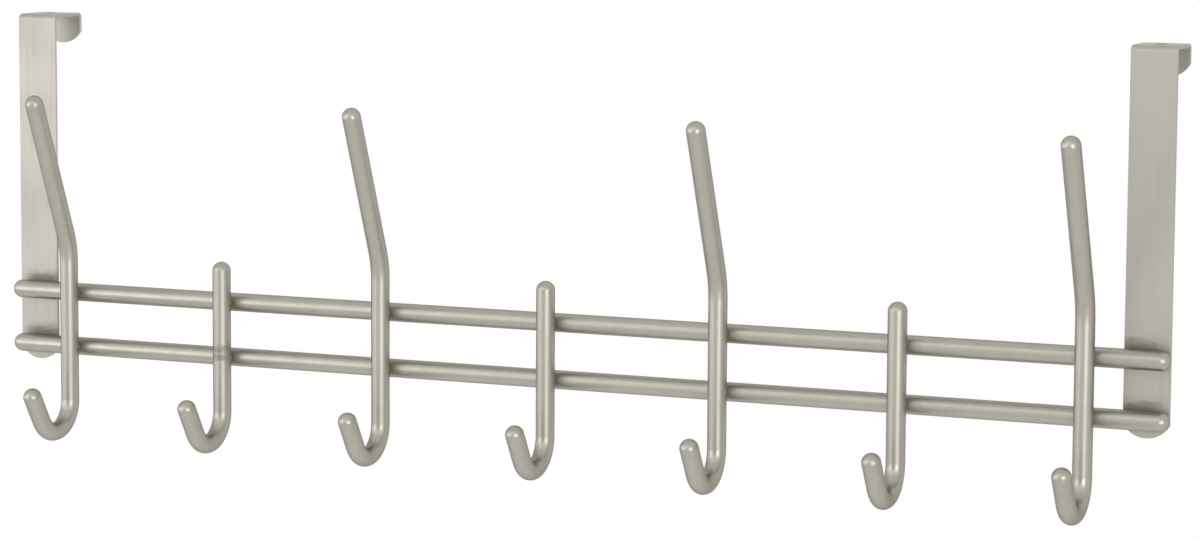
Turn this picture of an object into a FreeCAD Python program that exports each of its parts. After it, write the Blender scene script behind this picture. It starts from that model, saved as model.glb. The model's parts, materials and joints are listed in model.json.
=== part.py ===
import FreeCAD, Part
import math
import os

from FreeCAD import Vector

# Over door hook: coat hooks of bent round rod, welded across two round rails,
# which hang on the door by two folded strip brackets. All sizes in millimetres.
# X runs along the rails, -Y points into the room, +Y through the door, +Z up.
# The origin lies on the door's top edge, in the middle of the part: half way
# between the two brackets and half way through the door.

# Rod and strip stock
RAIL_DIAMETER = 8.0
HOOK_DIAMETER = 8.0
DOME_HEIGHT_RATIO = 0.86
STRIP_WIDTH = 19.0
STRIP_THICKNESS = 1.5

# Depth by which a welded piece is seated into the one behind it
WELD_SEAT = 0.3

# Brackets, measured between their middles
BRACKET_SPACING = 510.0
DOOR_GAP = 20.0
INNER_BEND_RADIUS = 1.0
REAR_LIP_DROP = 12.2
STRIP_END_RADIUS = 11.0
STRIP_EDGE_CHAMFER = 0.3
SCREW_HOLE_DIAMETER = 4.6
LEG_BELOW_LOWER_RAIL = 7.6

# Rails, which end just past the brackets' outer edges
RAIL_OVERHANG = 1.0
UPPER_RAIL_BELOW_DOOR_TOP = 122.5
RAIL_SPACING = 24.4

# Hooks, spread evenly between the brackets: a long one first, then short and long in turn
HOOK_COUNT = 7
END_HOOK_FROM_BRACKET = 22.5
HOOK_DROP_BELOW_RAIL = 39.8
HOOK_BEND_RADIUS = 13.0
HOOK_TIP_LEAN_DEGREES = 31.5
HOOK_TIP_LENGTH = 17.8
SHORT_TOP_ABOVE_RAIL = 18.5

# Pegs, the long hooks' upper ends that lean into the room
PEG_LEAN_DEGREES = 22.5
PEG_BEND_RADIUS = 34.0
PEG_BEND_ABOVE_RAIL = 21.3
PEG_LENGTH = 74.7

# Places that follow from the sizes above
RAIL_RADIUS = RAIL_DIAMETER / 2
HOOK_RADIUS = HOOK_DIAMETER / 2
OUTER_BEND_RADIUS = INNER_BEND_RADIUS + STRIP_THICKNESS
LEG_BACK_Y = -DOOR_GAP / 2
LEG_FRONT_Y = LEG_BACK_Y - STRIP_THICKNESS
LIP_FRONT_Y = DOOR_GAP / 2
LIP_BACK_Y = LIP_FRONT_Y + STRIP_THICKNESS
RAIL_Y = LEG_FRONT_Y - RAIL_RADIUS + WELD_SEAT
HOOK_Y = RAIL_Y - RAIL_RADIUS - HOOK_RADIUS + WELD_SEAT
UPPER_RAIL_Z = -UPPER_RAIL_BELOW_DOOR_TOP
LOWER_RAIL_Z = UPPER_RAIL_Z - RAIL_SPACING
LEG_END_Z = LOWER_RAIL_Z - LEG_BELOW_LOWER_RAIL
LIP_END_Z = -REAR_LIP_DROP
RAIL_LENGTH = BRACKET_SPACING + STRIP_WIDTH + 2 * RAIL_OVERHANG
HOOK_PITCH = (BRACKET_SPACING - 2 * END_HOOK_FROM_BRACKET) / (HOOK_COUNT - 1)
HOOK_BEND_Z = LOWER_RAIL_Z - HOOK_DROP_BELOW_RAIL + HOOK_RADIUS + HOOK_BEND_RADIUS
CLEAR = 1.0

X_AXIS = Vector(1, 0, 0)
Y_AXIS = Vector(0, 1, 0)
Z_AXIS = Vector(0, 0, 1)


def in_profile(y, z):
    """A point of a side profile, in the plane X = 0."""
    return Vector(0, y, z)


def line(start, end):
    return Part.LineSegment(start, end).toShape()


def arc(start, middle, end):
    return Part.Arc(start, middle, end).toShape()


def dome(radius, base, direction):
    """The round end of a rod: a ball's cap, a little flatter than half the ball."""
    height = radius * DOME_HEIGHT_RATIO
    ball = (radius ** 2 + height ** 2) / (2 * height)
    half_angle = math.asin(radius / ball) / 2
    ball_centre = Vector(0, height - ball, 0)
    rim = Vector(radius, 0, 0)
    crown = Vector(0, height, 0)
    shoulder = ball_centre + Vector(math.sin(half_angle), math.cos(half_angle), 0) * ball
    middle = Vector(0, 0, 0)
    section = Part.Face(Part.Wire([line(middle, rim), arc(rim, shoulder, crown), line(crown, middle)]))
    solid = section.revolve(middle, Y_AXIS, 360)
    solid.Placement = FreeCAD.Placement(base, FreeCAD.Rotation(Y_AXIS, direction))
    return solid


def bent_rod(edges, radius):
    """A round rod of one radius that follows a smooth path of lines and arcs."""
    path = Part.Wire(edges)
    first = edges[0]
    start = first.valueAt(first.FirstParameter)
    heading = first.tangentAt(first.FirstParameter)
    section = Part.Wire([Part.makeCircle(radius, start, heading)])
    return path.makePipeShell([section], True, False)


def rail(z):
    """A straight rail with a dome on each end, seated flat on both brackets' front legs."""
    straight = RAIL_LENGTH - 2 * RAIL_RADIUS * DOME_HEIGHT_RATIO
    left = Vector(-straight / 2, RAIL_Y, z)
    right = Vector(straight / 2, RAIL_Y, z)
    rod = Part.makeCylinder(RAIL_RADIUS, straight, left, X_AXIS)
    rod = rod.fuse([dome(RAIL_RADIUS, left, -X_AXIS), dome(RAIL_RADIUS, right, X_AXIS)])
    seats = [bracket_leg_block(side) for side in (-1, 1)]
    return rod.cut(seats)


def bracket_leg_block(side):
    """The plain block of a bracket's front leg, which leaves its flat seat in a rail."""
    low = Vector(side * BRACKET_SPACING / 2 - STRIP_WIDTH / 2, LEG_FRONT_Y, LEG_END_Z - CLEAR)
    height = -LEG_END_Z
    return Part.makeBox(STRIP_WIDTH, STRIP_THICKNESS, height, low)


def rail_saddle(z):
    """The round groove that a rail leaves in the back of each hook."""
    start = Vector(-RAIL_LENGTH / 2, RAIL_Y, z)
    return Part.makeCylinder(RAIL_RADIUS, RAIL_LENGTH, start, X_AXIS)


def leaning(degrees):
    """The direction that leans from straight up into the room."""
    lean = math.radians(degrees)
    return Vector(0, -math.sin(lean), math.cos(lean))


def across_from(degrees):
    """The direction from a bend's middle to the rod, where the rod leans by these degrees."""
    lean = math.radians(degrees)
    return Vector(0, math.cos(lean), math.sin(lean))


def hook(top, top_edges, top_direction, x):
    """A hook from its top end down to its foot, which turns up again and leans into the room.

    It is domed at both ends and grooved where it crosses the rails.
    """
    centre = in_profile(HOOK_Y - HOOK_BEND_RADIUS, HOOK_BEND_Z)
    shank_start = top_edges[-1].valueAt(top_edges[-1].LastParameter) if top_edges else top
    shank_end = centre + Y_AXIS * HOOK_BEND_RADIUS
    lowest = centre - Z_AXIS * HOOK_BEND_RADIUS
    bend_end = centre - across_from(HOOK_TIP_LEAN_DEGREES) * HOOK_BEND_RADIUS
    tip_direction = leaning(HOOK_TIP_LEAN_DEGREES)
    tip = bend_end + tip_direction * (HOOK_TIP_LENGTH - HOOK_RADIUS * DOME_HEIGHT_RATIO)
    foot = [line(shank_start, shank_end), arc(shank_end, lowest, bend_end), line(bend_end, tip)]
    rod = bent_rod(top_edges + foot, HOOK_RADIUS)
    rod = rod.fuse([dome(HOOK_RADIUS, top, top_direction), dome(HOOK_RADIUS, tip, tip_direction)])
    rod.translate(Vector(x, 0, 0))
    return rod.cut([rail_saddle(UPPER_RAIL_Z), rail_saddle(LOWER_RAIL_Z)])


def long_hook(x):
    """A hook whose upper end bends into the room as a peg."""
    up_the_peg = leaning(PEG_LEAN_DEGREES)
    corner = in_profile(HOOK_Y, UPPER_RAIL_Z + PEG_BEND_ABOVE_RAIL)
    tangent = PEG_BEND_RADIUS * math.tan(math.radians(PEG_LEAN_DEGREES) / 2)
    top = corner + up_the_peg * (PEG_LENGTH - HOOK_RADIUS * DOME_HEIGHT_RATIO)
    peg_start = corner + up_the_peg * tangent
    shank_start = corner - Z_AXIS * tangent
    centre = shank_start - Y_AXIS * PEG_BEND_RADIUS
    half_way = centre + across_from(PEG_LEAN_DEGREES / 2) * PEG_BEND_RADIUS
    top_edges = [line(top, peg_start), arc(peg_start, half_way, shank_start)]
    return hook(top, top_edges, up_the_peg, x)


def short_hook(x):
    """A hook that ends straight, just above the upper rail."""
    top_z = UPPER_RAIL_Z + SHORT_TOP_ABOVE_RAIL - HOOK_RADIUS * DOME_HEIGHT_RATIO
    return hook(in_profile(HOOK_Y, top_z), [], Z_AXIS, x)


def folded_strip():
    """The strip's side profile, folded twice over the door's top edge and made as wide as the strip."""
    diagonal = math.sqrt(0.5)
    front_centre = in_profile(LEG_BACK_Y + INNER_BEND_RADIUS, -INNER_BEND_RADIUS)
    back_centre = in_profile(LIP_FRONT_Y - INNER_BEND_RADIUS, -INNER_BEND_RADIUS)
    up_front = in_profile(-diagonal, diagonal)
    up_back = in_profile(diagonal, diagonal)
    outer = [
        in_profile(LEG_FRONT_Y, LEG_END_Z),
        in_profile(LEG_FRONT_Y, -INNER_BEND_RADIUS),
        in_profile(front_centre.y, STRIP_THICKNESS),
        in_profile(back_centre.y, STRIP_THICKNESS),
        in_profile(LIP_BACK_Y, -INNER_BEND_RADIUS),
        in_profile(LIP_BACK_Y, LIP_END_Z),
    ]
    inner = [
        in_profile(LIP_FRONT_Y, LIP_END_Z),
        in_profile(LIP_FRONT_Y, -INNER_BEND_RADIUS),
        in_profile(back_centre.y, 0),
        in_profile(front_centre.y, 0),
        in_profile(LEG_BACK_Y, -INNER_BEND_RADIUS),
        in_profile(LEG_BACK_Y, LEG_END_Z),
    ]
    edges = [
        line(outer[0], outer[1]),
        arc(outer[1], front_centre + up_front * OUTER_BEND_RADIUS, outer[2]),
        line(outer[2], outer[3]),
        arc(outer[3], back_centre + up_back * OUTER_BEND_RADIUS, outer[4]),
        line(outer[4], outer[5]),
        line(outer[5], inner[0]),
        line(inner[0], inner[1]),
        arc(inner[1], back_centre + up_back * INNER_BEND_RADIUS, inner[2]),
        line(inner[2], inner[3]),
        arc(inner[3], front_centre + up_front * INNER_BEND_RADIUS, inner[4]),
        line(inner[4], inner[5]),
        line(inner[5], outer[0]),
    ]
    profile = Part.Face(Part.Wire(edges))
    strip = profile.extrude(X_AXIS * STRIP_WIDTH)
    strip.translate(X_AXIS * (-STRIP_WIDTH / 2))
    return strip


def outside_round_end(front_y, end_z):
    """What is cut off a strip that ends at end_z, so that its end is an arc across its whole width."""
    width = STRIP_WIDTH + 2 * CLEAR
    depth = STRIP_THICKNESS + 2 * CLEAR
    sagitta = STRIP_END_RADIUS - math.sqrt(STRIP_END_RADIUS ** 2 - (STRIP_WIDTH / 2) ** 2)
    corner = Vector(-width / 2, front_y - CLEAR, end_z - CLEAR)
    block = Part.makeBox(width, depth, sagitta + 2 * CLEAR, corner)
    centre = Vector(0, corner.y - CLEAR, end_z + STRIP_END_RADIUS)
    return block.cut(Part.makeCylinder(STRIP_END_RADIUS, depth + 2 * CLEAR, centre, Y_AXIS))


def rim_edges(strip):
    """The edges of the strip's two long sides and of its two round ends, without the bend lines."""
    side = STRIP_WIDTH / 2 - CLEAR / 100
    rims = []
    for edge in strip.Edges:
        box = edge.BoundBox
        on_side = box.XMin > side or box.XMax < -side
        across = box.XLength > side
        on_round_end = across and box.ZLength > CLEAR
        if on_side or on_round_end:
            rims.append(edge)
    return rims


def bracket(side):
    """A door bracket: front leg, top with its screw hole, and rear lip, with all its rims chamfered."""
    strip = folded_strip()
    strip = strip.cut([outside_round_end(LEG_FRONT_Y, LEG_END_Z), outside_round_end(LIP_FRONT_Y, LIP_END_Z)])
    strip = strip.makeChamfer(STRIP_EDGE_CHAMFER, rim_edges(strip))
    hole = Part.makeCylinder(SCREW_HOLE_DIAMETER / 2, STRIP_THICKNESS + 2 * CLEAR, Vector(0, 0, -CLEAR), Z_AXIS)
    strip = strip.cut(hole)
    strip.translate(Vector(side * BRACKET_SPACING / 2, 0, 0))
    return strip


def hooks():
    """Each hook by its name, from left to right, spread evenly about the rails' middle."""
    made = {}
    for index in range(HOOK_COUNT):
        x = (index - (HOOK_COUNT - 1) / 2) * HOOK_PITCH
        number = index // 2 + 1
        if index % 2 == 0:
            made["hook_long_%d" % number] = long_hook(x)
        else:
            made["hook_short_%d" % number] = short_hook(x)
    return made


def save(name, shape):
    """Writes one piece, after a test that it is one sound solid."""
    solids = shape.removeSplitter().Solids
    if len(solids) != 1 or not solids[0].isValid():
        raise ValueError("%s is not one valid solid" % name)
    solids[0].exportStep(os.path.join("parts", name + ".step"))
    print(name, "volume %.1f mm3" % solids[0].Volume)


def main():
    os.makedirs("parts", exist_ok=True)
    pieces = {
        "rail_upper": rail(UPPER_RAIL_Z),
        "rail_lower": rail(LOWER_RAIL_Z),
        "bracket_left": bracket(-1),
        "bracket_right": bracket(1),
    }
    pieces.update(hooks())
    for name, shape in pieces.items():
        save(name, shape)


main()
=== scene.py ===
"""The looks of the over door hook: satin nickel rods and strips, their welds, and a plain studio."""

import json
import logging
import math
from dataclasses import asdict, dataclass, field
from enum import Enum

import bpy
import numpy as np
from mathutils import Matrix, Vector


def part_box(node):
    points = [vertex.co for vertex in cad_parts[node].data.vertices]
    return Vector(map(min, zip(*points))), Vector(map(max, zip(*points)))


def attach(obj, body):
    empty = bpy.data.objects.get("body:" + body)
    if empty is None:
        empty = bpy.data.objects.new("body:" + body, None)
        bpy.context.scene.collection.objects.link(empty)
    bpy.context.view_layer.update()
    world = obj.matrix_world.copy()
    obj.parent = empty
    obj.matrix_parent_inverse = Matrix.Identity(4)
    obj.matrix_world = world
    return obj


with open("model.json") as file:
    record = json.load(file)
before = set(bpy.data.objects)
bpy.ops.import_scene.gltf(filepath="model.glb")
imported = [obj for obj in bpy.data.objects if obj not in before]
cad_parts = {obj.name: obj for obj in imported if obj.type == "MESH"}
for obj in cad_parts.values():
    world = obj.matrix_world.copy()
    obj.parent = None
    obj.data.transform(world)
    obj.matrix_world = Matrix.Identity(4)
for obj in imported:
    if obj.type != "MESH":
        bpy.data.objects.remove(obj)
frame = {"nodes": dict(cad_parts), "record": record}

log = logging.getLogger("over_door_hook")

MM = 0.001
PHOTO_WIDTH_PX = 1200

# The Mix node's colour sockets go by number, because its sockets of other kinds have the same names.
MIX_FIRST, MIX_SECOND, MIX_RESULT = 6, 7, 2

Value = bpy.types.NodeSocket | float | tuple[float, ...]
Triple = tuple[float, float, float]


class Slot(Enum):
    """The record's material slots."""

    ROD = "satin_nickel_rod"
    STRIP = "satin_nickel_strip"


class Rail(Enum):
    """The two rails, by the height of their axes in millimetres."""

    UPPER = -122.5
    LOWER = -146.9


class Side(Enum):
    """The rack's two ends, by the sign of their place along the rails."""

    LEFT = -1
    RIGHT = 1


@dataclass(frozen=True)
class RodStock:
    """The round rod and where its runs stand, in millimetres, as the CAD model has them."""

    radius: float = 4.0
    rail_y: float = -15.2
    hook_y: float = -22.9
    hook_pitch: float = 77.5
    bracket_x: float = 255.0
    strip_front_y: float = -11.5


STOCK = RodStock()


def grid_faces(rows: int, columns: int) -> np.ndarray:
    """Quads of a grid that closes on itself both ways, like a ring's skin.

    Args:
        rows: points round the ring.
        columns: points round the ring's section.

    Returns:
        Four vertex numbers for each quad.
    """
    u, v = np.meshgrid(np.arange(rows), np.arange(columns), indexing="ij")
    u_next, v_next = (u + 1) % rows, (v + 1) % columns
    corners = [u * columns + v, u_next * columns + v, u_next * columns + v_next, u * columns + v_next]
    return np.stack(corners, -1).reshape(-1, 4)


def new_piece(name: str, points: np.ndarray, faces: np.ndarray) -> bpy.types.Object:
    """Puts a grid into a smooth shaded mesh that rides on the one body.

    Args:
        name: the piece's name.
        points: vertices in millimetres, in the part's frame.
        faces: quads, as vertex numbers.

    Returns:
        The piece, at the origin, with its place in its mesh.
    """
    starts = np.arange(0, faces.size, faces.shape[1], dtype=np.int32)
    mesh = bpy.data.meshes.new(name)
    mesh.vertices.add(len(points))
    mesh.vertices.foreach_set("co", (points * MM).astype(np.float32).ravel())
    mesh.loops.add(faces.size)
    mesh.loops.foreach_set("vertex_index", faces.astype(np.int32).ravel())
    mesh.polygons.add(len(faces))
    mesh.polygons.foreach_set("loop_start", starts)
    mesh.polygons.foreach_set("use_smooth", np.ones(len(faces), dtype=bool))
    mesh.update(calc_edges=True)
    mesh.validate()
    piece = bpy.data.objects.new(name, mesh)
    bpy.context.scene.collection.objects.link(piece)
    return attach(piece, "root")


@dataclass
class NodeSheet:
    """A node tree with short ways to add and join nodes, which stand in a row."""

    tree: bpy.types.NodeTree
    spacing: float = 180.0
    next_x: float = field(default=-1200.0, init=False)

    def add(self, kind: str, **settings: object) -> bpy.types.Node:
        """Adds a node and sets its properties.

        Args:
            kind: the node's type name.
            **settings: properties of the node.

        Returns:
            The node.
        """
        node = self.tree.nodes.new(kind)
        node.location = (self.next_x, 0.0)
        self.next_x += self.spacing
        for key, value in settings.items():
            setattr(node, key, value)
        return node

    def join(self, source: bpy.types.NodeSocket, target: bpy.types.NodeSocket) -> None:
        """Links an output to an input."""
        self.tree.links.new(source, target)

    def feed(self, value: Value, target: bpy.types.NodeSocket) -> None:
        """Links a socket to an input, or sets the input where value is a plain number, vector or colour.

        Args:
            value: an output socket or a plain value.
            target: the input.
        """
        if isinstance(value, bpy.types.NodeSocket):
            self.join(value, target)
        else:
            target.default_value = value

    def math(self, operation: str, first: Value, second: Value = 0.0) -> bpy.types.NodeSocket:
        """Adds a Math node.

        Args:
            operation: its operation.
            first: a socket or number.
            second: a socket or number.

        Returns:
            The result's socket.
        """
        node = self.add("ShaderNodeMath", operation=operation)
        self.feed(first, node.inputs[0])
        self.feed(second, node.inputs[1])
        return node.outputs[0]

    def strongest(self, masks: list[bpy.types.NodeSocket]) -> bpy.types.NodeSocket:
        """Takes the largest of several masks at each point.

        Args:
            masks: one or more sockets.

        Returns:
            The result's socket.
        """
        result = masks[0]
        for mask in masks[1:]:
            result = self.math("MAXIMUM", result, mask)
        return result

    def ramp(
        self, value: Value, low: Value, high: Value, start: Value = 0.0, end: Value = 1.0
    ) -> bpy.types.NodeSocket:
        """Adds a smooth, clamped Map Range.

        Args:
            value: what is mapped.
            low: the value that gives start.
            high: the value that gives end.
            start: the result at low.
            end: the result at high.

        Returns:
            The result's socket.
        """
        node = self.add("ShaderNodeMapRange", interpolation_type="SMOOTHSTEP")
        for socket, given in zip(node.inputs[:5], (value, low, high, start, end)):
            self.feed(given, socket)
        return node.outputs[0]

    def blend(self, factor: Value, first: Value, second: Value) -> bpy.types.NodeSocket:
        """Adds a colour Mix node.

        Args:
            factor: how much of the second.
            first: a colour.
            second: a colour.

        Returns:
            The mixed colour's socket.
        """
        node = self.add("ShaderNodeMix", data_type="RGBA")
        self.feed(factor, node.inputs["Factor"])
        self.feed(first, node.inputs[MIX_FIRST])
        self.feed(second, node.inputs[MIX_SECOND])
        return node.outputs[MIX_RESULT]

    def place(self) -> bpy.types.NodeSocket:
        """Adds the Object coordinates and returns their socket."""
        return self.add("ShaderNodeTexCoord").outputs["Object"]

    def split(self, place: bpy.types.NodeSocket) -> tuple[bpy.types.NodeSocket, ...]:
        """Splits a point into its coordinates.

        Args:
            place: the point.

        Returns:
            The sockets of its x, y and z.
        """
        node = self.add("ShaderNodeSeparateXYZ")
        self.join(place, node.inputs[0])
        return tuple(node.outputs)

    def scaled(self, place: bpy.types.NodeSocket, factors: Value) -> bpy.types.NodeSocket:
        """Multiplies each coordinate of a point by its own factor.

        Args:
            place: the point.
            factors: three factors, or their socket.

        Returns:
            The scaled point's socket.
        """
        node = self.add("ShaderNodeVectorMath", operation="MULTIPLY")
        self.join(place, node.inputs[0])
        self.feed(factors, node.inputs[1])
        return node.outputs[0]

    def noise(
        self, place: bpy.types.NodeSocket, scale: Value, detail: float, rough: float
    ) -> bpy.types.NodeSocket:
        """Adds a noise.

        Args:
            place: the point that it is read at.
            scale: its waves to a metre, about.
            detail: how many finer layers it has.
            rough: how strong each finer layer is beside the one before.

        Returns:
            The noise's socket, about 0.5 on average.
        """
        node = self.add("ShaderNodeTexNoise")
        self.join(place, node.inputs["Vector"])
        for label, value in (("Scale", scale), ("Detail", detail), ("Roughness", rough)):
            self.feed(value, node.inputs[label])
        return node.outputs[0]

    def placed(self, group: bpy.types.NodeTree, values: dict[str, float]) -> bpy.types.NodeSocket:
        """Places a shared effect with its own values.

        Args:
            group: the effect.
            values: input names and values.

        Returns:
            The socket of its one output.
        """
        node = self.add("ShaderNodeGroup")
        node.node_tree = group
        for label, value in values.items():
            node.inputs[label].default_value = value
        return node.outputs[0]


def start_group(name: str, inputs: dict[str, float], output: str) -> tuple[NodeSheet, bpy.types.Node]:
    """Makes a shader node group with number inputs and one number output.

    Args:
        name: the group's name.
        inputs: each input's name and usual value.
        output: the output's name.

    Returns:
        A sheet to lay its nodes on, and the node that gives its inputs.
    """
    group = bpy.data.node_groups.new(name, "ShaderNodeTree")
    for label, usual in inputs.items():
        socket = group.interface.new_socket(label, in_out="INPUT", socket_type="NodeSocketFloat")
        socket.default_value = usual
    group.interface.new_socket(output, in_out="OUTPUT", socket_type="NodeSocketFloat")
    sheet = NodeSheet(group)
    return sheet, sheet.add("NodeGroupInput")


def end_group(sheet: NodeSheet, result: bpy.types.NodeSocket) -> bpy.types.NodeTree:
    """Joins the result to a group's output.

    Args:
        sheet: the group's sheet.
        result: what the group puts out.

    Returns:
        The finished group.
    """
    sheet.join(result, sheet.add("NodeGroupOutput").inputs[0])
    return sheet.tree


@dataclass
class SharedEffects:
    """The effects that the finishes are made of, each a node group built once. Lengths are in metres.

    cloud_range is the part of a cloud's noise that is stretched to 0 to 1. A smear is a noise of
    smear_scale waves to the metre, drawn out across by smear_draw. Less a half and times smear_shift, it
    moves the edge of each weld mark and each band of painted shade. Each is at its strongest within
    mark_middle of its place.
    """

    cloud_range: tuple[float, float] = (0.32, 0.68)
    smear_scale: float = 420.0
    smear_draw: Triple = (0.35, 0.35, 1.6)
    smear_shift: float = -0.006
    mark_middle: float = 0.003
    cloud: bpy.types.NodeTree = field(init=False)
    grain: bpy.types.NodeTree = field(init=False)
    weld_mark_and_shade: bpy.types.NodeTree = field(init=False)
    bore: bpy.types.NodeTree = field(init=False)

    def __post_init__(self) -> None:
        """Builds the groups."""
        self.cloud = self._cloud()
        self.grain = self._grain()
        self.weld_mark_and_shade = self._weld_tint()
        self.bore = self._bore()

    def _cloud(self) -> bpy.types.NodeTree:
        """Soft cloudiness of a plated satin face.

        The mask is one noise with a few finer layers, its middle part stretched to 0 to 1. Stretch multiplies
        the heights first, so a value under 1 draws the clouds out into upright streaks.

        Returns:
            The group.
        """
        sheet, given = start_group("satin_cloud", {"Size": 90.0, "Stretch": 1.0}, "Mask")
        factors = sheet.add("ShaderNodeCombineXYZ")
        for socket, factor in zip(factors.inputs, (1.0, 1.0, given.outputs["Stretch"])):
            sheet.feed(factor, socket)
        drawn = sheet.scaled(sheet.place(), factors.outputs[0])
        broad = sheet.noise(drawn, given.outputs["Size"], detail=3.0, rough=0.5)
        return end_group(sheet, sheet.ramp(broad, *self.cloud_range))

    def _grain(self) -> bpy.types.NodeTree:
        """The fine even tooth of the satin finish: a small noise, as height.

        Returns:
            The group.
        """
        sheet, given = start_group("satin_grain", {"Size": 3500.0}, "Height")
        fine = sheet.noise(sheet.place(), given.outputs["Size"], detail=2.0, rough=0.6)
        return end_group(sheet, fine)

    def _weld_tint(self) -> bpy.types.NodeTree:
        """A dark band with a smeared edge: a weld mark on a rod, and painted shade just above each rail on a
        strip.

        The mask is 1 within Core of the height, measured up and down, and fades to 0 at Reach. It is weaker
        away from the weld's place along the part and ends at Half. A noise that is drawn out across moves its
        edge. It stays on the side that faces the room, in front of Front.

        Returns:
            The group.
        """
        inputs = {"Place": 0.0, "Height": 0.0, "Half": 0.012, "Core": 0.004, "Reach": 0.009, "Front": -0.011}
        sheet, given = start_group("weld_mark_and_shade", inputs, "Mask")
        place = sheet.place()
        along, depth, height = sheet.split(place)
        smear = sheet.noise(sheet.scaled(place, self.smear_draw), self.smear_scale, detail=4.0, rough=0.6)
        above = sheet.math("ABSOLUTE", sheet.math("SUBTRACT", height, given.outputs["Height"]))
        shift = sheet.math("MULTIPLY", sheet.math("SUBTRACT", smear, 0.5), self.smear_shift)
        uneven = sheet.math("ADD", above, shift)
        near = sheet.ramp(uneven, given.outputs["Core"], given.outputs["Reach"], 1.0, 0.0)
        aside = sheet.math("ABSOLUTE", sheet.math("SUBTRACT", along, given.outputs["Place"]))
        beside = sheet.ramp(aside, self.mark_middle, given.outputs["Half"], 1.0, 0.0)
        facing = sheet.math("LESS_THAN", depth, given.outputs["Front"])
        return end_group(sheet, sheet.math("MULTIPLY", sheet.math("MULTIPLY", near, beside), facing))

    def _bore(self) -> bpy.types.NodeTree:
        """Darkens the wall of a screw hole and a thin rim round it: 1 within Radius of an upright line at
        Place along the part.

        Returns:
            The group.
        """
        sheet, given = start_group("bore", {"Place": 0.0, "Radius": 0.0024}, "Mask")
        along, depth, _ = sheet.split(sheet.place())
        across = sheet.math("SUBTRACT", along, given.outputs["Place"])
        squares = sheet.math("ADD", sheet.math("POWER", across, 2.0), sheet.math("POWER", depth, 2.0))
        away = sheet.math("SQRT", squares)
        return end_group(sheet, sheet.math("LESS_THAN", away, given.outputs["Radius"]))


@dataclass(frozen=True)
class WeldMarkAndShade:
    """A dark band, in metres. On a rod it is a weld mark, where heat has darkened the plating; on a strip it
    is painted shade just above a rail, where the rail meets the strip.

    place is along the part and height is up it. The mark is full within core of the height and gone at reach,
    and along the part it ends half away from its place. It is only on what stands in front of front.
    """

    place: float
    height: float
    half: float
    core: float
    reach: float
    front: float

    def values(self) -> dict[str, float]:
        """The band as values for the inputs of the weld_mark_and_shade group, which have the fields' names.
        """
        return {label.capitalize(): value for label, value in asdict(self).items()}


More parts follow.
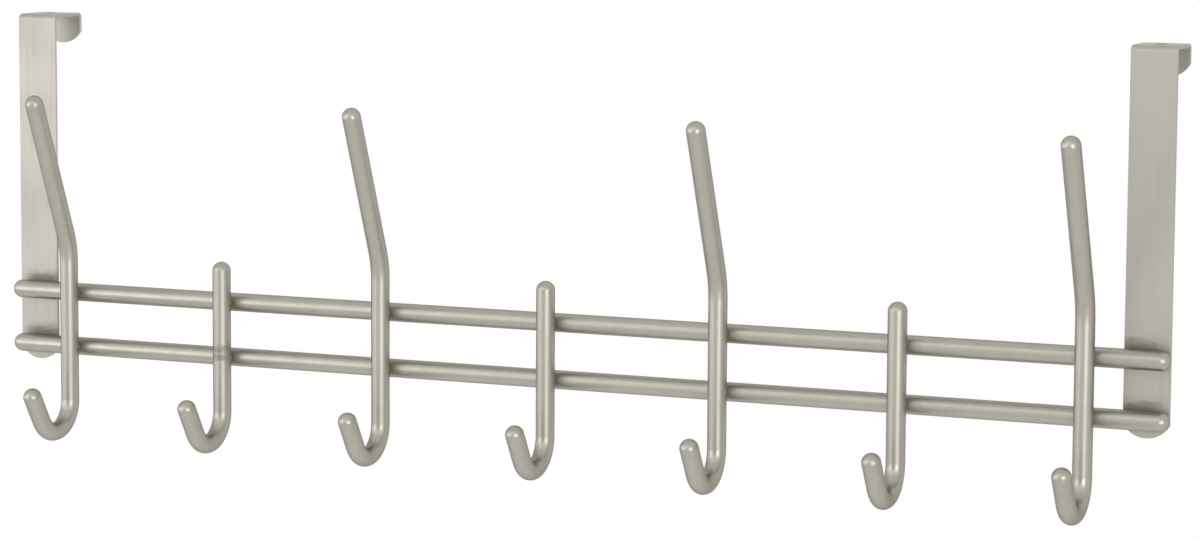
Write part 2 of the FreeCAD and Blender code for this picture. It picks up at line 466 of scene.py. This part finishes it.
@dataclass(frozen=True)
class SatinNickel:
    """Satin nickel plating on steel: a warm grey metal, softly shining, faintly cloudy and finely streaked.

    It varies between colour and shade, and in roughness by roughness_swing each way. cloud_share of that
    comes from a cloud and the rest from a streak. Weld marks, the painted shade just above each rail on the
    strips and the walls of holes turn to burnt and are rougher by up to
    burnt_roughness. edge tints what the metal mirrors at a low angle. Sizes are in waves to
    the metre, and the grain's depth and the holes' places and radius are in metres.
    """

    name: str
    colour: Triple
    shade: Triple
    burnt: Triple
    edge: Triple
    roughness: float
    roughness_swing: float
    cloud_size: float
    cloud_stretch: float
    streak_size: float
    streak_stretch: float
    grain_size: float
    grain_depth: float
    marks: tuple[WeldMarkAndShade, ...]
    mark_share: float
    holes: tuple[float, ...] = ()
    hole_radius: float = 0.0024
    cloud_share: float = 0.6
    grain_strength: float = 0.12
    burnt_roughness: float = 0.12

    def _varied(self, sheet: NodeSheet, effects: SharedEffects) -> bpy.types.NodeSocket:
        """Adds the cloud and the streak, each with its share.

        Args:
            sheet: the material's sheet.
            effects: the shared node groups.

        Returns:
            The socket of the sum, 0 to 1.
        """
        cloud = sheet.placed(effects.cloud, {"Size": self.cloud_size, "Stretch": self.cloud_stretch})
        streak = sheet.placed(effects.cloud, {"Size": self.streak_size, "Stretch": self.streak_stretch})
        cloud_part = sheet.math("MULTIPLY", cloud, self.cloud_share)
        streak_part = sheet.math("MULTIPLY", streak, 1.0 - self.cloud_share)
        return sheet.math("ADD", cloud_part, streak_part)

    def _burnt_mask(self, sheet: NodeSheet, effects: SharedEffects) -> bpy.types.NodeSocket:
        """Adds the weld marks and the bands of painted shade, at mark_share of their full strength, and the
        walls of the holes.

        Args:
            sheet: the material's sheet.
            effects: the shared node groups.

        Returns:
            The mask's socket.
        """
        # Weld marks on the rods, and painted shade just above each rail on the strips.
        mark_and_shade_bands = [sheet.placed(effects.weld_mark_and_shade, mark.values()) for mark in self.marks]
        mark_and_shade_strength = sheet.math("MULTIPLY", sheet.strongest(mark_and_shade_bands), self.mark_share)
        holes = [{"Place": place, "Radius": self.hole_radius} for place in self.holes]
        bores = [sheet.placed(effects.bore, values) for values in holes]
        return sheet.strongest([mark_and_shade_strength, *bores])

    def _tooth(self, sheet: NodeSheet, effects: SharedEffects) -> bpy.types.NodeSocket:
        """Adds the grain as a bump.

        Args:
            sheet: the material's sheet.
            effects: the shared node groups.

        Returns:
            The normal's socket.
        """
        bump = sheet.add("ShaderNodeBump")
        bump.inputs["Strength"].default_value = self.grain_strength
        bump.inputs["Distance"].default_value = self.grain_depth
        sheet.join(sheet.placed(effects.grain, {"Size": self.grain_size}), bump.inputs["Height"])
        return bump.outputs["Normal"]

    def make(self, effects: SharedEffects) -> bpy.types.Material:
        """Builds the material.

        Args:
            effects: the shared node groups.

        Returns:
            The material.
        """
        material = bpy.data.materials.new(self.name)
        material.use_nodes = True
        material.node_tree.nodes.clear()
        sheet = NodeSheet(material.node_tree)
        varied = self._varied(sheet, effects)
        burnt = self._burnt_mask(sheet, effects)
        plated = sheet.blend(varied, (*self.colour, 1.0), (*self.shade, 1.0))
        # Darkens the weld marks, the painted shade above the rails and the walls of the holes.
        colour = sheet.blend(burnt, plated, (*self.burnt, 1.0))
        least, most = self.roughness - self.roughness_swing, self.roughness + self.roughness_swing
        even = sheet.ramp(varied, 0.0, 1.0, least, most)
        rough = sheet.math("ADD", even, sheet.math("MULTIPLY", burnt, self.burnt_roughness))
        normal = self._tooth(sheet, effects)
        shader = sheet.add("ShaderNodeBsdfPrincipled")
        shader.inputs["Metallic"].default_value = 1.0
        shader.inputs["Specular Tint"].default_value = (*self.edge, 1.0)
        sheet.join(colour, shader.inputs["Base Color"])
        sheet.join(rough, shader.inputs["Roughness"])
        sheet.join(normal, shader.inputs["Normal"])
        out = sheet.add("ShaderNodeOutputMaterial")
        sheet.join(shader.outputs[0], out.inputs["Surface"])
        return material


# The second hook from the left has a small mark at the lower rail, in two bands, in front of its axis.
SECOND_HOOK_X = -2 * STOCK.hook_pitch * MM
HOOK_AXIS_Y = STOCK.hook_y * MM

# Each strip has painted shade just above each rail, where the rail meets it, a little to its inner side. In
# millimetres.
STRIP_SHADE_INWARD = 2.5
STRIP_SHADE_RISE = 3.2

ROD_FINISH = SatinNickel(
    name="satin_nickel_on_rod",
    colour=(0.404, 0.381, 0.331),
    shade=(0.378, 0.356, 0.309),
    burnt=(0.150, 0.138, 0.118),
    edge=(0.46, 0.45, 0.43),
    roughness=0.40,
    roughness_swing=0.02,
    cloud_size=110.0,
    cloud_stretch=0.6,
    streak_size=650.0,
    streak_stretch=0.25,
    grain_size=3200.0,
    grain_depth=0.00004,
    marks=(
        WeldMarkAndShade(SECOND_HOOK_X, height=-0.1424, half=0.0046, core=0.0002, reach=0.0024, front=HOOK_AXIS_Y),
        WeldMarkAndShade(SECOND_HOOK_X, height=-0.1458, half=0.0044, core=0.0001, reach=0.0020, front=HOOK_AXIS_Y),
    ),
    mark_share=0.55,
)

STRIP_FINISH = SatinNickel(
    name="satin_nickel_on_strip",
    colour=(0.424, 0.405, 0.356),
    shade=(0.398, 0.380, 0.334),
    # The dark colour of the painted shade just above each rail, and of the walls of the holes.
    burnt=(0.100, 0.087, 0.066),
    edge=(0.95, 0.95, 0.94),
    roughness=0.51,
    roughness_swing=0.03,
    cloud_size=42.0,
    cloud_stretch=0.7,
    streak_size=700.0,
    streak_stretch=0.04,
    grain_size=2600.0,
    grain_depth=0.00005,
    # Bands of painted shade just above each rail, where the rail meets the strip.
    marks=tuple(
        WeldMarkAndShade(
            place=side.value * (STOCK.bracket_x - STRIP_SHADE_INWARD) * MM,
            height=(rail.value + STRIP_SHADE_RISE) * MM,
            half=0.0125,
            core=0.0012,
            reach=0.0064,
            front=-0.0108,
        )
        for side in Side
        for rail in Rail
    ),
    mark_share=0.64,
    holes=tuple(side.value * STOCK.bracket_x * MM for side in Side),
)

FINISHES = {Slot.ROD: ROD_FINISH, Slot.STRIP: STRIP_FINISH}


@dataclass
class RodWelds:
    """The small collars of metal pressed out where a hook is welded to a rail, and a rail to a strip.

    In millimetres: the section's radius is foot at the two faces, waist at its outer dip and core at its
    inner dip. It sinks into each face by bite. A seat's ring is drawn out along the rail by drawn_out each
    way, with ends as square as squareness makes them, and its section stays open by least_gap. around and
    section are the points round the ring and round its section.
    """

    foot: float = 2.9
    waist: float = 2.35
    core: float = 1.1
    bite: float = 0.12
    drawn_out: float = 5.6
    squareness: float = 3.0
    least_gap: float = 0.02
    around: int = 56
    section: int = 20

    def _section(self) -> tuple[np.ndarray, np.ndarray, np.ndarray]:
        """Works out the ring's section.

        The section is a crescent. Its outer half goes from the first face to the second and dips from foot to
        waist by a half sine, and its inner half comes back by a half sine that dips to core.

        Returns:
            The angles round the ring, the radius at each point of the section, and how far across the gap
            each point is, 0 at the first face and 1 at the second.
        """
        u = np.linspace(0.0, 2.0 * math.pi, self.around, endpoint=False)
        out = np.linspace(0.0, 1.0, self.section // 2, endpoint=False)
        radius = np.concatenate([
            self.foot - (self.foot - self.waist) * np.sin(math.pi * out),
            self.foot - (self.foot - self.core) * np.sin(math.pi * out),
        ])
        across = np.concatenate([out, 1.0 - out])
        return u, radius, across

    def crossing(self, name: str, x: float, z: float) -> bpy.types.Object:
        """Builds the collar between a hook and a rail.

        At angle u and radius p round the crossing, the rail's front stands at
        rail_y - sqrt(r^2 - (p sin u)^2) and the hook's back at hook_y + sqrt(r^2 - (p cos u)^2). Each point
        of the section lies between the two.

        Args:
            name: the piece's name.
            x: the hook's place along the rails.
            z: the rail's height.

        Returns:
            The collar.
        """
        u, radius, across = self._section()
        ring_x = radius[None] * np.cos(u)[:, None]
        ring_z = radius[None] * np.sin(u)[:, None]
        rail_front = STOCK.rail_y - np.sqrt(STOCK.radius**2 - ring_z**2) + self.bite
        hook_back = STOCK.hook_y + np.sqrt(STOCK.radius**2 - ring_x**2) - self.bite
        ring_y = rail_front + (hook_back - rail_front) * across[None]
        points = np.stack([x + ring_x, ring_y, z + ring_z], -1).reshape(-1, 3)
        return new_piece(name, points, grid_faces(self.around, self.section))

    def seat(self, name: str, x: float, z: float) -> bpy.types.Object:
        """Builds the collar between a rail and a strip.

        It is the same ring, each angle u moved out along the rail by drawn_out times tanh(squareness cos u) /
        tanh(squareness). The strip's front is flat, and the rail's back stands at
        rail_y + sqrt(r^2 - (p sin u)^2).

        Args:
            name: the piece's name.
            x: the strip's middle.
            z: the rail's height.

        Returns:
            The collar.
        """
        u, radius, across = self._section()
        drawn = self.drawn_out * np.tanh(self.squareness * np.cos(u)) / math.tanh(self.squareness)
        ring_x = drawn[:, None] + radius[None] * np.cos(u)[:, None]
        ring_z = radius[None] * np.sin(u)[:, None]
        strip_front = np.full_like(ring_z, STOCK.strip_front_y + self.bite)
        rail_back = STOCK.rail_y + np.sqrt(STOCK.radius**2 - ring_z**2) - self.bite
        rail_back = np.minimum(rail_back, strip_front - self.least_gap)
        ring_y = strip_front + (rail_back - strip_front) * across[None]
        points = np.stack([x + ring_x, ring_y, z + ring_z], -1).reshape(-1, 3)
        return new_piece(name, points, grid_faces(self.around, self.section))


@dataclass
class HookRack:
    """The welded rack: rails, hooks and brackets from the CAD model, dressed, with their welds."""

    nodes: dict[str, bpy.types.Object]
    slots: dict[str, Slot]
    effects: SharedEffects
    welds: RodWelds = field(default_factory=RodWelds)
    finishes: dict[Slot, bpy.types.Material] = field(init=False)

    def __post_init__(self) -> None:
        """Makes each slot's finish."""
        self.finishes = {slot: finish.make(self.effects) for slot, finish in FINISHES.items()}

    def dress(self) -> None:
        """Gives every CAD node the finish of its slot in the record."""
        for name, node in self.nodes.items():
            finish = self.finishes[self.slots[name]]
            for place in node.material_slots:
                place.material = finish
            log.info("dressed %s with %s", name, finish.name)

    def weld(self) -> None:
        """Builds the collars at every crossing and seat."""
        pieces = []
        for node in sorted(name for name in self.nodes if name.startswith("hook")):
            low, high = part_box(node)
            x = (low.x + high.x) / 2 / MM
            for rail in Rail:
                pieces.append(self.welds.crossing(f"weld_{node}_{rail.name.lower()}", x, rail.value))
        for side in Side:
            x = side.value * STOCK.bracket_x
            for rail in Rail:
                name = f"weld_bracket_{side.name.lower()}_{rail.name.lower()}"
                pieces.append(self.welds.seat(name, x, rail.value))
        for piece in pieces:
            piece.data.materials.append(self.finishes[Slot.ROD])
            log.info("built %s", piece.name)


@dataclass(frozen=True)
class Softbox:
    """A studio lamp: a soft oblong light that faces the rack. Lengths are in metres."""

    name: str
    place: Triple
    size: tuple[float, float]
    radiance: float
    colour: Triple
    target: Triple = (0.0, 0.0, -0.09)

    def light(self) -> bpy.types.Object:
        """Builds the lamp. Its power is radiance times pi times its area.

        Returns:
            The lamp's object.
        """
        width, height = self.size
        data = bpy.data.lights.new(self.name, "AREA")
        data.shape = "RECTANGLE"
        data.size, data.size_y = width, height
        data.energy = self.radiance * math.pi * width * height
        data.color = self.colour
        lamp = bpy.data.objects.new(self.name, data)
        away = Vector(self.place) - Vector(self.target)
        turn = away.to_track_quat("Z", "Y").to_matrix().to_4x4()
        lamp.matrix_world = Matrix.Translation(self.place) @ turn
        bpy.context.scene.collection.objects.link(lamp)
        return lamp


@dataclass(frozen=True)
class Viewpoint:
    """The photograph's viewpoint: right of the rack, a little above it, looking left and slightly down.

    The place and the sensor's width are in millimetres, the turns in degrees, and the focal length and the
    shifts in the photograph's pixels. The clip distances are in metres.
    """

    place: Triple = (571.38, -1326.40, 76.15)
    heading: float = 22.540
    tilt: float = 6.001
    roll: float = 0.360
    focal_length: float = 3410.3
    shift_x: float = -12.9
    shift_y: float = -60.0
    sensor_width: float = 36.0
    clip_start: float = 0.05
    clip_end: float = 50.0

    def camera(self) -> bpy.types.Object:
        """Builds the camera and makes it the scene's.

        Returns:
            The camera's object.
        """
        data = bpy.data.cameras.new("camera")
        data.sensor_width = self.sensor_width
        data.lens = self.focal_length / PHOTO_WIDTH_PX * self.sensor_width
        data.shift_x = self.shift_x / PHOTO_WIDTH_PX
        data.shift_y = self.shift_y / PHOTO_WIDTH_PX
        data.clip_start = self.clip_start
        data.clip_end = self.clip_end
        camera = bpy.data.objects.new("camera", data)
        heading = Matrix.Rotation(math.radians(self.heading), 4, "Z")
        tilt = Matrix.Rotation(math.pi / 2 - math.radians(self.tilt), 4, "X")
        roll = Matrix.Rotation(math.radians(self.roll), 4, "Z")
        camera.matrix_world = Matrix.Translation(Vector(self.place) * MM) @ heading @ tilt @ roll
        bpy.context.scene.collection.objects.link(camera)
        bpy.context.scene.camera = camera
        return camera


@dataclass
class Studio:
    """A plain white studio: world, floor, lamps and camera. The floor's height and half are in metres."""

    lamps: tuple[Softbox, ...] = (
        Softbox("front_softbox", (1.49, -1.89, 0.04), (0.90, 0.66), radiance=7.3, colour=(0.98, 0.99, 1.03)),
        Softbox("left_softbox", (-1.54, -1.83, 0.14), (0.85, 0.85), radiance=3.4, colour=(0.97, 0.985, 1.05)),
        Softbox("side_softbox", (-2.32, -0.62, 0.0), (0.60, 0.60), radiance=4.0, colour=(0.94, 0.98, 1.10)),
        Softbox("overhead_softbox", (-0.49, -1.98, 1.16), (2.8, 0.7), radiance=0.95, colour=(1.0, 1.0, 1.0)),
    )
    viewpoint: Viewpoint = Viewpoint()
    floor_height: float = -1.9
    floor_half: float = 6.0
    floor_paleness: float = 0.97
    floor_roughness: float = 0.8

    def build(self) -> None:
        """Builds everything in the studio."""
        self._world()
        self._floor()
        for lamp in self.lamps:
            lamp.light()
        self.viewpoint.camera()

    def _world(self) -> None:
        """An even white surround, the same for the camera, the metal's reflections and the soft light."""
        world = bpy.data.worlds.new("studio")
        bpy.context.scene.world = world
        world.use_nodes = True
        surround = world.node_tree.nodes["Background"]
        surround.inputs["Color"].default_value = (1.0, 1.0, 1.0, 1.0)
        surround.inputs["Strength"].default_value = 1.0

    def _floor(self) -> None:
        """A pale floor at the foot of the door that keeps the rack's shadow."""
        half, height, pale = self.floor_half, self.floor_height, self.floor_paleness
        outline = ((-half, -half), (half, -half), (half, half), (-half, half))
        corners = [(x, y, height) for x, y in outline]
        mesh = bpy.data.meshes.new("floor")
        mesh.from_pydata(corners, [], [(0, 1, 2, 3)])
        floor = bpy.data.objects.new("floor", mesh)
        bpy.context.scene.collection.objects.link(floor)
        material = bpy.data.materials.new("pale_floor")
        material.use_nodes = True
        shader = material.node_tree.nodes["Principled BSDF"]
        shader.inputs["Base Color"].default_value = (pale, pale, pale, 1.0)
        shader.inputs["Roughness"].default_value = self.floor_roughness
        mesh.materials.append(material)


def main() -> None:
    """Builds the dressed rack and its studio."""
    logging.basicConfig(level=logging.INFO, format="%(message)s")
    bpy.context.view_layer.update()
    bpy.context.scene.view_settings.view_transform = "Standard"
    slots = {part["node"]: Slot(part["material_slot"]) for part in frame["record"]["subparts"]}
    rack = HookRack(frame["nodes"], slots, SharedEffects())
    rack.dress()
    rack.weld()
    Studio().build()


if __name__ == "__main__":
    main()
